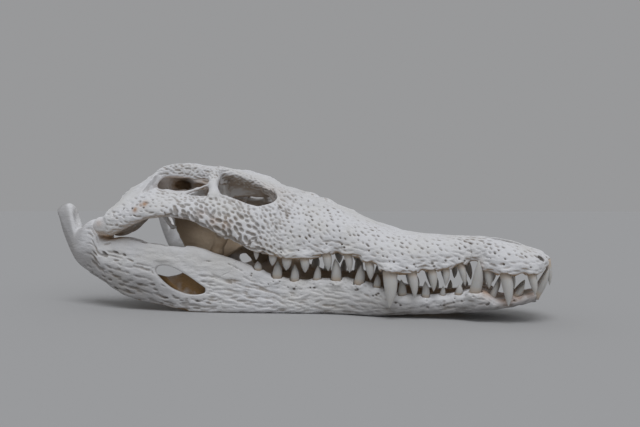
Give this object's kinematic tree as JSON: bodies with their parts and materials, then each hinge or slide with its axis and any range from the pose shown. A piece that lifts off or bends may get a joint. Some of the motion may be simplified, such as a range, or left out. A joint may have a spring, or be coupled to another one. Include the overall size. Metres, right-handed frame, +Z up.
{
  "type": "crocodile skull",
  "caption": "Dry bleached skull of an adult crocodile with its lower jaw closed, long pitted snout, interlocking teeth and raised hind jaw spurs, resting on the lower jaw.",
  "frame": {"origin": "middle of the skull's length and width, on the surface that the lower jaw rests on", "axes": "+X forward to the tip of the snout, +Y to the animal's left, +Z up"},
  "size_m": [0.495, 0.2012, 0.152],
  "materials": {
    "bone": null,
    "inner_bone": "Tan, less bleached bone of the palate and the insides, matte."
  },
  "bodies": {
    "root": {"premaxilla": "bone", "nasal": "bone", "maxilla_right": "bone", "maxilla_left": "bone", "frontal": "bone", "skull_table": "bone", "jugal_right": "bone", "jugal_left": "bone", "quadrate_right": "bone", "quadrate_left": "bone", "dentary_right": "bone", "dentary_left": "bone", "hind_jaw_right": "bone", "hind_jaw_left": "bone", "palatines": "inner_bone", "pterygoid_right": "inner_bone", "pterygoid_left": "inner_bone"}
  },
  "joints": []
}
